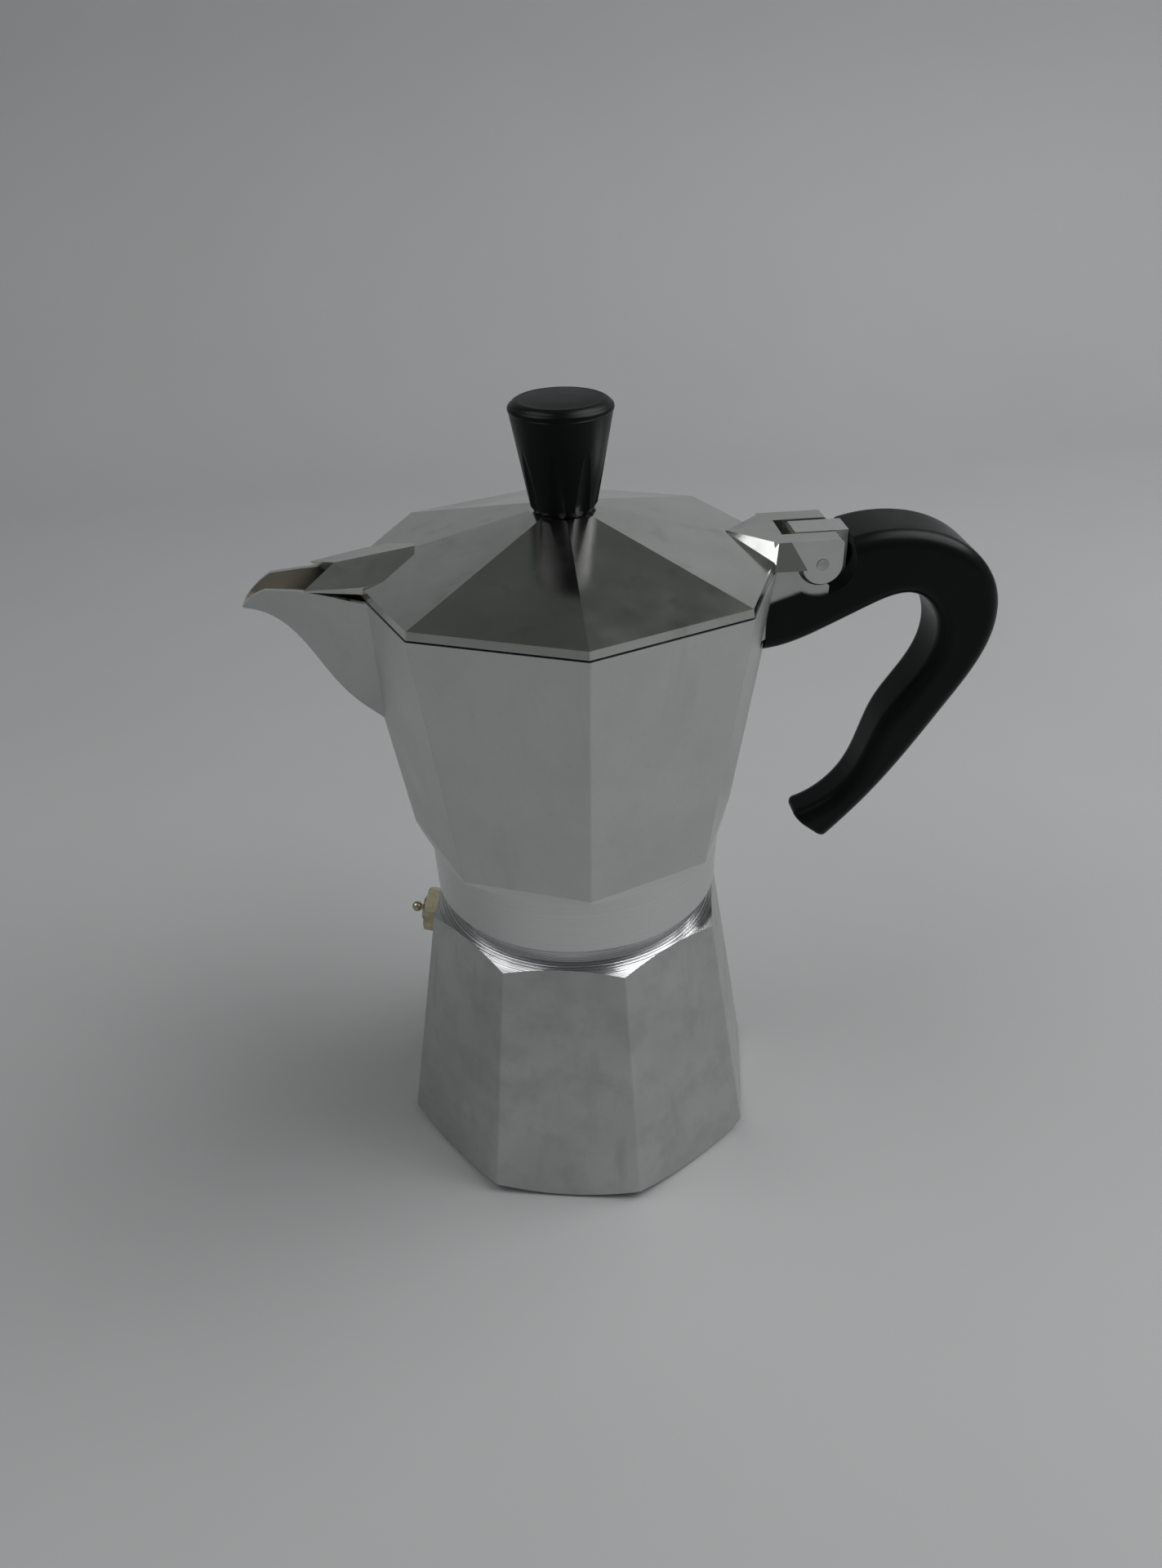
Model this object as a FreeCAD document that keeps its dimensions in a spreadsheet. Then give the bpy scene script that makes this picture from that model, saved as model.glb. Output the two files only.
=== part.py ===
import FreeCAD, Part
import math
import os
import re

import Sketcher

# Stove-top moka pot: eight-sided boiler and collector, screwed together at a round collar.
# Frame: the pot axis is Z, the base stands on Z = 0, the handle points along +X and the spout along -X.

os.makedirs("parts", exist_ok=True)
doc = FreeCAD.newDocument("moka_pot")
sizes = doc.addObject("Spreadsheet::Sheet", "Sizes")

# Driving dimensions: millimetres, and degrees where the meaning says so.
DRIVING = [
    # boiler
    ("base_radius", "54.2", "axis to a lower corner of the boiler"),
    ("base_corner", "3.2", "height of the lower corners"),
    ("foot_radius", "49.0", "flat foot under the base"),
    ("shoulder_radius", "42.5", "axis to a corner at the turned shoulder"),
    ("shoulder_height", "73.8", "height of the shoulder's corners"),
    ("neck_foot", "76.4", "height where the shoulder meets the neck"),
    ("neck_radius", "36.6", "outside of the neck, over its thread"),
    ("neck_bore", "32.0", "inside of the neck"),
    ("neck_top", "91.5", "top of the neck"),
    ("boiler_wall", "2.9", "wall of the boiler"),
    ("boiler_floor", "4.0", "floor of the boiler"),
    ("boiler_turn", "11.77", "degrees from the collector's corners to the boiler's"),
    ("edge_round", "1.1", "rounding of the cast upright edges"),
    # safety valve, measured along its own axis from the boiler's facet
    ("valve_height", "63.6", "height of the valve's axis on the facet"),
    ("washer_thick", "0.8", "sealing washer"),
    ("washer_radius", "6.6", "outside of the sealing washer"),
    ("hexagon_flats", "12.0", "spanner size of the valve body"),
    ("hexagon_thick", "3.7", "length of the hexagon"),
    ("shank_radius", "4.2", "threaded shank through the boiler wall"),
    ("shank_reach", "6.4", "shank beyond the facet, into the boiler"),
    ("chamber_radius", "2.9", "spring chamber in the valve body"),
    ("seat_wall", "1.0", "end wall of the valve body, with the seat"),
    ("orifice_radius", "1.4", "steam hole in the seat"),
    ("cap_radius", "3.5", "outside of the valve's end cap"),
    ("cap_plug", "1.4", "length of the cap pressed into the chamber"),
    ("cap_head", "0.9", "length of the cap that shows"),
    ("pin_shaft", "0.85", "radius of the valve pin"),
    ("pin_flange", "2.3", "radius of the pin's inner flange"),
    ("flange_height", "0.8", "thickness of the pin's inner flange"),
    ("seal_thick", "0.9", "sealing disc under the flange"),
    ("ball_radius", "1.5", "ball tip of the pin"),
    ("ball_stand", "0.8", "bare shaft between cap and ball"),
    ("spring_wire", "0.5", "diameter of the spring's wire"),
    ("spring_radius", "1.75", "middle of the spring's coils"),
    ("spring_turns", "5", "coils of the spring"),
    # funnel, screen, gasket and filter plate
    ("cup_wall", "1.0", "wall of the funnel"),
    ("cup_depth", "30.0", "depth of the coffee cup"),
    ("cone_depth", "9.0", "height of the cone under the cup"),
    ("stem_radius", "5.0", "outside of the funnel's stem"),
    ("stem_clear", "3.5", "stem's end above the boiler's floor"),
    ("flange_radius", "35.2", "outside of the funnel's rim"),
    ("flange_thick", "1.2", "thickness of the funnel's rim"),
    ("screen_thick", "0.8", "perforated screen in the funnel"),
    ("screen_ledge", "1.4", "ledge that carries the screen"),
    ("hole_radius", "0.8", "perforations"),
    ("hole_step", "6.0", "distance between rings of perforations"),
    ("gasket_inner", "28.5", "inside of the ring gasket"),
    ("gasket_outer", "36.2", "outside of the ring gasket"),
    ("gasket_thick", "3.2", "thickness of the ring gasket"),
    ("plate_radius", "31.0", "outside of the filter plate"),
    ("plate_thick", "0.8", "thickness of the filter plate"),
    ("plate_rise", "1.4", "rise of the plate's middle over its rim"),
    # collector
    ("collar_radius", "39.5", "outside of the collar at its lower edge"),
    ("collar_flare", "0.7", "growth of the collar's radius up to the facets"),
    ("collar_foot", "81.7", "height of the collar's lower edge"),
    ("collar_bore", "36.95", "inside of the collar, over its thread"),
    ("waist_height", "98.8", "height where the collar meets the facets"),
    ("undercut_rise", "2.9", "height of the turned undercut out to the corners"),
    ("waist_radius", "44.3", "axis to a corner at the undercut"),
    ("rim_radius", "55.4", "axis to a corner at the collector's rim"),
    ("rim_height", "173.5", "height of the collector's rim"),
    ("wall", "2.5", "wall of the collector"),
    ("chamber_floor", "103.0", "height of the collector's floor inside"),
    # column
    ("column_base", "10.5", "radius of the column at the floor"),
    ("column_tip", "7.2", "radius of the column near its top"),
    ("column_drop", "13.5", "column's top below the rim"),
    ("column_wall", "1.8", "wall of the column"),
    ("column_dome", "5.8", "height of the column's domed end"),
    ("column_lip", "2.2", "lip that holds the column under the floor"),
    ("outlet_radius", "2.6", "side outlets of the column"),
    # spout
    ("spout_bury", "3.45376", "first spout section inside the wall's corner, at the keel's height"),
    ("spout_span", "35.7", "first spout section to the lip"),
    ("spout_depth", "51.4", "keel at the first section below the rim"),
    ("spout_half", "21.1", "half width of the first section, at the height of the uncut spout"),
    ("lip_drop", "5.7", "underside of the lip below the rim"),
    ("lip_half", "6.5", "half width of the last section, at the height of the uncut spout"),
    ("spout_wall", "1.7", "wall of the spout"),
    # lid
    ("lid_gap", "0.4", "gap between the collector's rim and the lid"),
    ("lid_inset", "0.3", "lid's rim inside the collector's rim"),
    ("band_height", "2.0", "height of the lid's rim band"),
    ("band_lean", "0.3", "inward lean of the rim band"),
    ("lid_rise", "14.5", "knob's seat on the lid above the rim"),
    ("seat_radius", "8.6", "axis to a corner of the knob's seat"),
    ("lid_wall", "1.8", "wall of the lid"),
    # hinge
    ("pin_stand", "6.9", "hinge pin beyond the rim's corner"),
    ("pin_rise", "0.2", "hinge pin above the rim"),
    ("pin_radius", "1.5", "radius of the hinge pin"),
    ("pin_play", "0.05", "running clearance of the hinge pin"),
    ("ear_radius", "5.0", "round ends of the lid's ears"),
    ("hood_length", "22.1", "hood's point to the hinge pin"),
    ("hood_run", "11.3", "hood's full width to the hinge pin"),
    ("hood_half", "10.8", "half width of the hood and ears"),
    ("hood_rise", "6.5", "flat top of the hood above the rim"),
    ("hood_draft", "30.0", "degrees that the hood's sides flare"),
    ("slot_run", "9.2", "front of the slot between the ears to the hinge pin"),
    ("slot_half", "5.1", "half width of the slot between the ears"),
    ("tab_run", "6.3", "front of the bracket's tab to the hinge pin"),
    ("tab_tail", "7.9", "rear of the bracket's tab beyond the hinge pin"),
    ("tab_half", "4.0", "half width of the bracket's tab"),
    ("tongue_half", "2.0", "half width of the handle's tongue in the tab"),
    ("bracket_half", "9.2", "half width of the bracket's block"),
    ("bracket_tail", "2.5", "rear of the bracket's block beyond the hinge pin"),
    ("bracket_drop", "21.5", "lowest point of the bracket on the wall below the rim"),
    ("swing_gap", "0.5", "room round the ears when the lid swings"),
    ("seat_gap", "0.15", "gap between handle and bracket"),
    # spout cover on the lid
    ("cover_root", "13.2", "half width of the spout cover at the lid's rim"),
    ("cover_half", "9.7", "half width of the spout cover at its points"),
    ("cover_length", "8.5", "cover's points beyond the lid's corner"),
    ("notch_stand", "1.6", "notch's corner beyond the lid's corner"),
    ("notch_rise", "4.4", "ridge at the notch above the rim"),
    ("cover_slope", "0.153", "fall of the cover's ridge per length"),
    ("cover_fall", "0.2", "fall of the cover to each side per width"),
    ("cover_clear", "0.5", "gap between spout rim and cover"),
    # knob
    ("knob_foot", "7.2", "radius of the knob's foot"),
    ("knob_waist", "8.2", "radius just above the foot"),
    ("knob_radius", "12.5", "largest radius of the knob"),
    ("knob_height", "27.0", "height of the knob"),
    ("knob_crown", "2.2", "height from the largest radius to the top"),
    ("flute_radius", "3.6", "radius of the flute cutter"),
    ("flute_depth", "1.2", "depth of the flutes at the foot"),
    ("flute_fade", "0.06", "slope by which the flutes run out towards the top"),
    ("flute_turn", "28", "degrees from the handle's line to the nearest flute"),
    ("flute_count", "8", "flutes round the knob"),
    ("insert_radius", "3.6", "threaded insert in the knob"),
    ("insert_length", "12.0", "length of the insert"),
    ("screw_radius", "2.0", "knob screw"),
    ("screw_head", "3.8", "radius of the knob screw's head"),
    ("screw_head_height", "2.4", "height of the knob screw's head"),
    ("knob_washer", "5.2", "outside of the washer under the screw head"),
    ("knob_washer_thick", "0.8", "thickness of that washer"),
    # handle
    ("handle_half", "11.0", "half width of the handle at its top"),
    ("grip_half", "6.2", "half width of the handle at its free end"),
    ("handle_round", "3.7", "rounding of the handle's long edges"),
    ("handle_rise", "7.4", "top of the handle above the rim"),
    ("handle_length", "48.4", "furthest reach of the handle beyond the hinge pin"),
    ("elbow_drop", "21.0", "furthest reach below the rim"),
    ("arm_drop", "10.0", "underside of the arm over the fingers below the rim"),
    ("grip_depth", "15.4", "grip from its outside to its inside"),
    ("end_drop", "85.7", "lowest point of the handle below the rim"),
    ("end_setback", "39.7", "lowest point inside the furthest reach"),
    ("end_face", "13.8", "length of the handle's end face"),
    ("end_round", "1.5", "rounding of the end face"),
    ("nose_drop", "23.5", "underside of the handle at the collector's wall below the rim"),
    ("cheek_drop", "9.9", "top of the handle's cheeks at the collector's wall below the rim"),
]

# Sizes that follow from the driving ones.
DERIVED = [
    ("boiler_taper", "=(base_radius - shoulder_radius) / (shoulder_height - base_corner)"),
    ("shoulder_fall", "=(neck_foot - shoulder_height) / (shoulder_radius - neck_radius)"),
    ("foot_rise", "=base_corner / (base_radius - foot_radius)"),
    ("chamfer_reach", "=base_radius + 6"),
    ("funnel_top", "=neck_top + flange_thick"),
    ("cup_outer", "=neck_bore - 0.3"),
    ("cup_inner", "=cup_outer - cup_wall"),
    ("screen_seat", "=funnel_top - cup_depth"),
    ("cone_foot", "=screen_seat - cone_depth"),
    ("gasket_foot", "=funnel_top + 0.1"),
    ("plate_foot", "=gasket_foot + gasket_thick"),
    ("socket_top", "=plate_foot + plate_thick + 0.3"),
    ("collector_taper", "=(rim_radius - waist_radius) / (rim_height - waist_height - undercut_rise)"),
    ("column_bore", "=column_tip - column_wall"),
    ("column_top", "=rim_height - column_drop"),
    ("spout_keel", "=rim_height - spout_depth"),
    ("lip_height", "=rim_height - lip_drop"),
    ("keel_wall", "=waist_radius + collector_taper * (spout_keel - waist_height - undercut_rise)"),
    ("spout_root", "=keel_wall - spout_bury"),
    ("spout_reach", "=spout_root + spout_span"),
    ("spout_top", "=rim_height + 6"),
    ("lid_radius", "=rim_radius - lid_inset"),
    ("lid_foot", "=rim_height + lid_gap"),
    ("band_top", "=lid_foot + band_height"),
    ("band_radius", "=lid_radius - band_lean"),
    ("lid_top", "=rim_height + lid_rise"),
    ("notch_height", "=rim_height + notch_rise"),
    ("pin_across", "=rim_radius + pin_stand"),
    ("pin_height", "=rim_height + pin_rise"),
    ("hood_top", "=rim_height + hood_rise"),
    ("bracket_foot", "=rim_height - bracket_drop"),
    ("hood_tip", "=pin_across - hood_length"),
    ("hood_front", "=pin_across - hood_run"),
    ("slot_front", "=pin_across - slot_run"),
    ("tab_front", "=pin_across - tab_run"),
    ("tab_rear", "=pin_across + tab_tail"),
    ("bracket_rear", "=pin_across + bracket_tail"),
    ("cover_reach", "=lid_radius + cover_length"),
    ("notch_reach", "=lid_radius + notch_stand"),
    ("knob_seat", "=lid_top + 0.05"),
    ("handle_front", "=tab_rear + seat_gap"),
    ("handle_top", "=rim_height + handle_rise"),
    ("elbow_height", "=rim_height - elbow_drop"),
    ("arm_under", "=rim_height - arm_drop"),
    ("end_height", "=rim_height - end_drop"),
    ("nose_low", "=rim_height - nose_drop"),
    ("nose_high", "=rim_height - cheek_drop"),
    ("handle_reach", "=pin_across + handle_length"),
    ("finger_reach", "=handle_reach - grip_depth"),
    ("end_across", "=handle_reach - end_setback"),
]

NAMES = {row[0] for row in DRIVING + DERIVED}
for line, (alias, number, meaning) in enumerate(DRIVING, start=1):
    sizes.set(f"A{line}", meaning)
    sizes.set(f"B{line}", number)
    sizes.setAlias(f"B{line}", alias)
for line, (alias, formula) in enumerate(DERIVED, start=len(DRIVING) + 1):
    sizes.set(f"B{line}", formula)
    sizes.setAlias(f"B{line}", alias)
doc.recompute()

WORD = re.compile(r"[A-Za-z_][A-Za-z_0-9]*")
CORNERS = 8
HALF_FACET = "22.5 deg"


def bound(text):
    """The expression with every size named in full, for use outside the sheet."""
    return WORD.sub(lambda word: f"Sizes.{word.group()}" if word.group() in NAMES else word.group(), text)


def size(text):
    """The number that an expression of sizes gives."""
    return float(sizes.evalExpression(text))


def origin_plane(body, role):
    return [feature for feature in body.Origin.OriginFeatures if feature.Role == role][0]


def new_sketch(body, name, role, offset="0"):
    """A sketch on one of the body's origin planes, moved along the plane's normal by an offset."""
    sketch = body.newObject("Sketcher::SketchObject", name)
    sketch.AttachmentSupport = [(origin_plane(body, role), "")]
    sketch.MapMode = "FlatFace"
    sketch.setExpression("AttachmentOffset.Base.z", bound(offset))
    return sketch


def arc_between(start, end, radius):
    """Arc from start to end: a positive radius bulges to the right of the way, a negative one to the left."""
    chord = end - start
    turn = FreeCAD.Vector(chord.y, -chord.x, 0).normalize() * math.copysign(1.0, -radius)
    depth = math.sqrt(radius**2 - (chord.Length / 2) ** 2)
    centre = start + chord / 2 + turn * depth
    first, last = (start, end) if radius > 0 else (end, start)
    circle = Part.Circle(centre, FreeCAD.Vector(0, 0, 1), abs(radius))
    angles = [math.atan2(point.y - centre.y, point.x - centre.x) for point in (first, last)]
    return Part.ArcOfCircle(circle, angles[0], angles[1])


def outline(sketch, corners):
    """Closed outline through corners (across, up) or (across, up, radius of the arc to the next corner)."""
    points = [FreeCAD.Vector(size(corner[0]), size(corner[1]), 0) for corner in corners]
    ends = []
    for index, corner in enumerate(corners):
        start, end = points[index], points[(index + 1) % len(points)]
        if len(corner) == 2:
            edge = sketch.addGeometry(Part.LineSegment(start, end))
            ends.append((edge, 1, 2))
            continue
        radius = size(corner[2])
        edge = sketch.addGeometry(arc_between(start, end, radius))
        ends.append((edge, 1, 2) if radius > 0 else (edge, 2, 1))
    for index, (edge, start, end) in enumerate(ends):
        following = ends[(index + 1) % len(ends)]
        sketch.addConstraint(Sketcher.Constraint("Coincident", edge, end, following[0], following[1]))
        bind_point(sketch, edge, start, corners[index])
        if len(corners[index]) == 3:
            radius = corners[index][2]
            mark = sketch.addConstraint(Sketcher.Constraint("Radius", edge, abs(size(radius))))
            sketch.setExpression(f"Constraints[{mark}]", f"abs({bound(radius)})")


def dome_radius(across, rise):
    """Radius of a dome of a given half width and rise, centred on the axis."""
    return f"(({across})^2 + ({rise})^2) / (2 * ({rise}))"


def bind_point(sketch, edge, end, corner):
    """Hold a point at its two coordinates, each bound to the sheet."""
    for kind, axis, text in (("DistanceX", -2, corner[0]), ("DistanceY", -1, corner[1])):
        if text == "0":
            sketch.addConstraint(Sketcher.Constraint("PointOnObject", edge, end, axis))
            continue
        mark = sketch.addConstraint(Sketcher.Constraint(kind, -1, 1, edge, end, size(text)))
        sketch.setExpression(f"Constraints[{mark}]", bound(text))


def turned(name, corners):
    """A body turned about Z from an outline of (radius, height) corners."""
    body = doc.addObject("PartDesign::Body", name)
    sketch = new_sketch(body, f"{name}_outline", "XZ_Plane")
    outline(sketch, corners)
    feature = body.newObject("PartDesign::Revolution", f"{name}_turned")
    feature.Profile = sketch
    feature.ReferenceAxis = (sketch, ["V_Axis"])
    feature.Angle = 360
    sketch.Visibility = False
    return body


def side_plate(name, corners, half):
    """A body padded to both sides of the XZ plane from an outline of (across, height) corners."""
    body = doc.addObject("PartDesign::Body", name)
    sketch = new_sketch(body, f"{name}_outline", "XZ_Plane")
    outline(sketch, corners)
    pad = body.newObject("PartDesign::Pad", f"{name}_pad")
    pad.Profile = sketch
    pad.Midplane = True
    pad.setExpression("Length", bound(f"2 * ({half})"))
    return body


def plan_plate(name, corners, foot, height, draft=None):
    """A body padded upwards from an outline of (x, y) corners, its sides drawn in by any draft."""
    body = doc.addObject("PartDesign::Body", name)
    sketch = new_sketch(body, f"{name}_outline", "XY_Plane", foot)
    outline(sketch, corners)
    pad = body.newObject("PartDesign::Pad", f"{name}_pad")
    pad.Profile = sketch
    pad.setExpression("Length", bound(height))
    if draft:
        pad.setExpression("TaperAngle", bound(draft))
    return body


def eight_sided(name, low, high, turn="0", edge=None):
    """A body with eight flat sides between two levels of (corner radius, height), edges rounded if asked."""
    body = doc.addObject("PartDesign::Body", name)
    sketch = new_sketch(body, f"{name}_outline", "XY_Plane", low[1])
    sketch.setExpression("AttachmentOffset.Rotation.Angle", bound(f"{turn} - 22.5"))
    far, near = f"({low[0]}) * cos({HALF_FACET})", f"({low[0]}) * sin({HALF_FACET})"
    quarter = [(far, near), (near, far), (f"-{near}", far), (f"-{far}", near)]
    opposite = [(f"-{far}", f"-{near}"), (f"-{near}", f"-{far}"), (near, f"-{far}"), (far, f"-{near}")]
    outline(sketch, quarter + opposite)
    rise = f"(({high[1]}) - ({low[1]}))"
    pad = body.newObject("PartDesign::Pad", f"{name}_pad")
    pad.Profile = sketch
    pad.setExpression("Length", bound(rise))
    doc.recompute()
    normals = [face.normalAt(0, 0).z for face in pad.Shape.Faces]
    draft = body.newObject("PartDesign::Draft", f"{name}_draft")
    draft.Base = (pad, [f"Face{number}" for number, up in enumerate(normals, start=1) if abs(up) < 0.5])
    draft.NeutralPlane = (pad, [f"Face{number}" for number, up in enumerate(normals, start=1) if up < -0.5])
    draft.Reversed = size(high[0]) > size(low[0])
    draft.setExpression("Angle", bound(f"atan(abs(({high[0]}) - ({low[0]})) * cos({HALF_FACET}) / {rise})"))
    if edge:
        doc.recompute()
        edges = enumerate(draft.Shape.Edges, start=1)
        fillet = body.newObject("PartDesign::Fillet", f"{name}_fillet")
        upright = [f"Edge{number}" for number, line in edges if line.BoundBox.ZLength > size(rise) / 2]
        fillet.Base = (draft, upright)
        fillet.setExpression("Radius", bound(edge))
    return body


def rod(name, radius, length, place=FreeCAD.Placement()):
    """A cylinder along its own Z, with the middle of its lower end at a placement."""
    solid = doc.addObject("Part::Cylinder", name)
    solid.setExpression("Radius", bound(radius))
    solid.setExpression("Height", bound(length))
    solid.Placement = place
    return solid


def cross_rod(name, radius, half):
    """A cylinder on the hinge axis, reaching half a length to both sides."""
    turn = FreeCAD.Rotation(FreeCAD.Vector(1, 0, 0), -90)
    place = FreeCAD.Placement(FreeCAD.Vector(0, 0, 0), turn)
    solid = rod(name, radius, f"2 * ({half})", place)
    solid.setExpression("Placement.Base.x", bound("pin_across"))
    solid.setExpression("Placement.Base.y", bound(f"-({half})"))
    solid.setExpression("Placement.Base.z", bound("pin_height"))
    return solid


def fuse(name, *solids):
    joined = doc.addObject("Part::MultiFuse", name)
    joined.Shapes = list(solids)
    joined.Refine = True
    return joined


def cut(name, base, *tools):
    tool = tools[0] if len(tools) == 1 else fuse(f"{name}_tools", *tools)
    result = doc.addObject("Part::Cut", name)
    result.Base = base
    result.Tool = tool
    result.Refine = True
    return result


def common(name, *solids):
    result = doc.addObject("Part::MultiCommon", name)
    result.Shapes = list(solids)
    result.Refine = True
    return result


def rounded(name, base, radius, wanted):
    """Round the edges of a base that a test picks."""
    doc.recompute()
    result = doc.addObject("Part::Fillet", name)
    result.Base = base
    marks = [number for number, edge in enumerate(base.Shape.Edges, start=1) if wanted(edge)]
    result.Edges = [(number, size(radius), size(radius)) for number in marks]
    return result


def subpart(label, solid):
    solid.Label = label
    PARTS[label] = solid
    return solid


PARTS = {}


# Boiler: an eight-sided casting with a turned foot, shoulder and neck.
def make_boiler():
    sides = eight_sided(
        "boiler_sides",
        ("base_radius + boiler_taper * base_corner", "0"),
        ("shoulder_radius - boiler_taper * (neck_foot - shoulder_height)", "neck_foot"),
        "boiler_turn",
        "edge_round",
    )
    envelope = turned(
        "boiler_envelope",
        [
            ("0", "0"),
            ("foot_radius", "0"),
            ("chamfer_reach", "(chamfer_reach - foot_radius) * foot_rise"),
            ("chamfer_reach", "shoulder_height - (chamfer_reach - shoulder_radius) * shoulder_fall"),
            ("neck_radius", "neck_foot"),
            ("0", "neck_foot"),
        ],
    )
    neck = turned(
        "boiler_neck",
        [
            ("0", "shoulder_height - boiler_wall"),
            ("neck_radius", "shoulder_height - boiler_wall"),
            ("neck_radius", "neck_top - 0.6"),
            ("neck_radius - 0.6", "neck_top"),
            ("0", "neck_top"),
        ],
    )
    wall_across = f"boiler_wall / cos({HALF_FACET})"
    hollow = eight_sided(
        "boiler_hollow",
        (f"base_radius - boiler_taper * (boiler_floor - base_corner) - {wall_across}", "boiler_floor"),
        (f"shoulder_radius + boiler_taper * boiler_wall - {wall_across}", "shoulder_height - boiler_wall"),
        "boiler_turn",
    )
    bore = rod("boiler_bore", "neck_bore", "neck_top - boiler_floor")
    bore.setExpression("Placement.Base.z", bound("boiler_floor + 10"))
    inside = valve_place(-1.5 * size("shank_reach"))
    valve_hole = rod("valve_hole", "shank_radius + 0.02", "2 * shank_reach + 4", inside)
    solid = fuse("boiler_solid", common("boiler_outside", sides, envelope), neck)
    subpart("boiler", cut("boiler_cut", solid, hollow, bore, valve_hole))


def valve_place(along):
    """Placement whose Z is the valve's axis, at a distance along it from the boiler's facet."""
    azimuth = math.radians(size("boiler_turn") + 157.5)
    half_facet = math.cos(math.pi / CORNERS)
    slope = math.atan(size("boiler_taper") * half_facet)
    climb = size("valve_height") - size("base_corner")
    reach = (size("base_radius") - size("boiler_taper") * climb) * half_facet
    outward = FreeCAD.Vector(math.cos(azimuth), math.sin(azimuth), 0)
    axis = outward * math.cos(slope) + FreeCAD.Vector(0, 0, math.sin(slope))
    middle = outward * reach + FreeCAD.Vector(0, 0, size("valve_height"))
    turn = FreeCAD.Rotation(FreeCAD.Vector(0, 0, 1), math.degrees(azimuth))
    lean = FreeCAD.Rotation(FreeCAD.Vector(0, 1, 0), 90 - math.degrees(slope))
    return FreeCAD.Placement(middle + axis * along, turn.multiply(lean))


# Safety valve: hexagon body on a washer, with a sprung pin that lifts outwards.
def make_valve():
    place = valve_place(0)
    hexagon = doc.addObject("Part::Prism", "valve_hexagon")
    hexagon.Polygon = 6
    hexagon.setExpression("Circumradius", bound("hexagon_flats / 2 / cos(30 deg)"))
    hexagon.setExpression("Height", bound("hexagon_thick"))
    hexagon.setExpression("Placement.Base.z", bound("washer_thick"))
    crown = turned(
        "valve_crown",
        [
            ("0", "washer_thick"),
            ("hexagon_flats", "washer_thick"),
            ("hexagon_flats", "washer_thick + hexagon_thick - 0.55 * (hexagon_flats / 2)"),
            ("hexagon_flats / 2", "washer_thick + hexagon_thick"),
            ("0", "washer_thick + hexagon_thick"),
        ],
    )
    shank = turned(
        "valve_shank",
        [
            ("0", "-shank_reach"),
            ("shank_radius - 0.6", "-shank_reach"),
            ("shank_radius", "0.6 - shank_reach"),
            ("shank_radius", "washer_thick + 0.5"),
            ("0", "washer_thick + 0.5"),
        ],
    )
    chamber = turned(
        "valve_chamber",
        [
            ("0", "-shank_reach - 1"),
            ("orifice_radius", "-shank_reach - 1"),
            ("orifice_radius", "seat_wall - shank_reach"),
            ("chamber_radius", "seat_wall - shank_reach"),
            ("chamber_radius", "washer_thick + hexagon_thick + 1"),
            ("0", "washer_thick + hexagon_thick + 1"),
        ],
    )
    body = cut("valve_body_cut", fuse("valve_solid", common("valve_head", hexagon, crown), shank), chamber)
    washer = turned(
        "valve_washer",
        [
            ("shank_radius + 0.1", "0"),
            ("washer_radius", "0"),
            ("washer_radius", "washer_thick"),
            ("shank_radius + 0.1", "washer_thick"),
        ],
    )
    cap_foot = "washer_thick + hexagon_thick - cap_plug"
    cap_top = "washer_thick + hexagon_thick + cap_head"
    cap = turned(
        "valve_cap",
        [
            ("pin_shaft + 0.08", cap_foot),
            ("chamber_radius", cap_foot),
            ("chamber_radius", "washer_thick + hexagon_thick"),
            ("cap_radius", "washer_thick + hexagon_thick"),
            ("cap_radius", f"{cap_top} - 0.3"),
            ("cap_radius - 0.3", cap_top),
            ("pin_shaft + 0.08", cap_top),
        ],
    )
    seal_foot = "seat_wall - shank_reach + 0.02"
    flange_foot = f"{seal_foot} + seal_thick"
    flange_top = f"{flange_foot} + flange_height"
    shaft_top = f"{cap_top} + ball_stand"
    neck = "sqrt(ball_radius * ball_radius - pin_shaft * pin_shaft)"
    pin = turned(
        "valve_pin",
        [
            ("0", flange_foot),
            ("pin_flange", flange_foot),
            ("pin_flange", flange_top),
            ("pin_shaft", flange_top),
            ("pin_shaft", shaft_top, "ball_radius"),
            ("0", f"{shaft_top} + {neck} + ball_radius"),
        ],
    )
    seal = turned(
        "valve_seal",
        [("0", seal_foot), ("pin_flange", seal_foot), ("pin_flange", flange_foot), ("0", flange_foot)],
    )
    spring = doc.addObject("Part::Feature", "valve_spring")
    spring.Shape = coil(size(flange_top), size(cap_foot))
    for label, solid in (("valve_body", body), ("valve_washer", washer), ("valve_cap", cap)):
        subpart(label, solid).Placement = place
    for label, solid in (("valve_pin", pin), ("valve_seal", seal), ("valve_spring", spring)):
        subpart(label, solid).Placement = place


def coil(low, high):
    """Round-wire spring between two heights, its ends a little clear of what they press on."""
    wire, radius = size("spring_wire"), size("spring_radius")
    quarters = 4 * round(size("spring_turns"))
    clear = 0.05
    foot = low + wire / 2 + clear
    rise = (high - wire / 2 - clear - foot) / quarters

    def point(quarter):
        angle = quarter * math.pi / 2
        return FreeCAD.Vector(radius * math.cos(angle), radius * math.sin(angle), foot + rise * quarter)

    arcs = [Part.Arc(point(q), point(q + 0.5), point(q + 1)).toShape() for q in range(quarters)]
    path = Part.Wire(arcs)
    start = arcs[0].tangentAt(arcs[0].FirstParameter)
    section = Part.Wire(Part.makeCircle(wire / 2, point(0), start))
    print(f"valve spring: least gap between coils {4 * rise - wire:.2f} mm")
    return path.makePipeShell([section], True, False)


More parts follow.
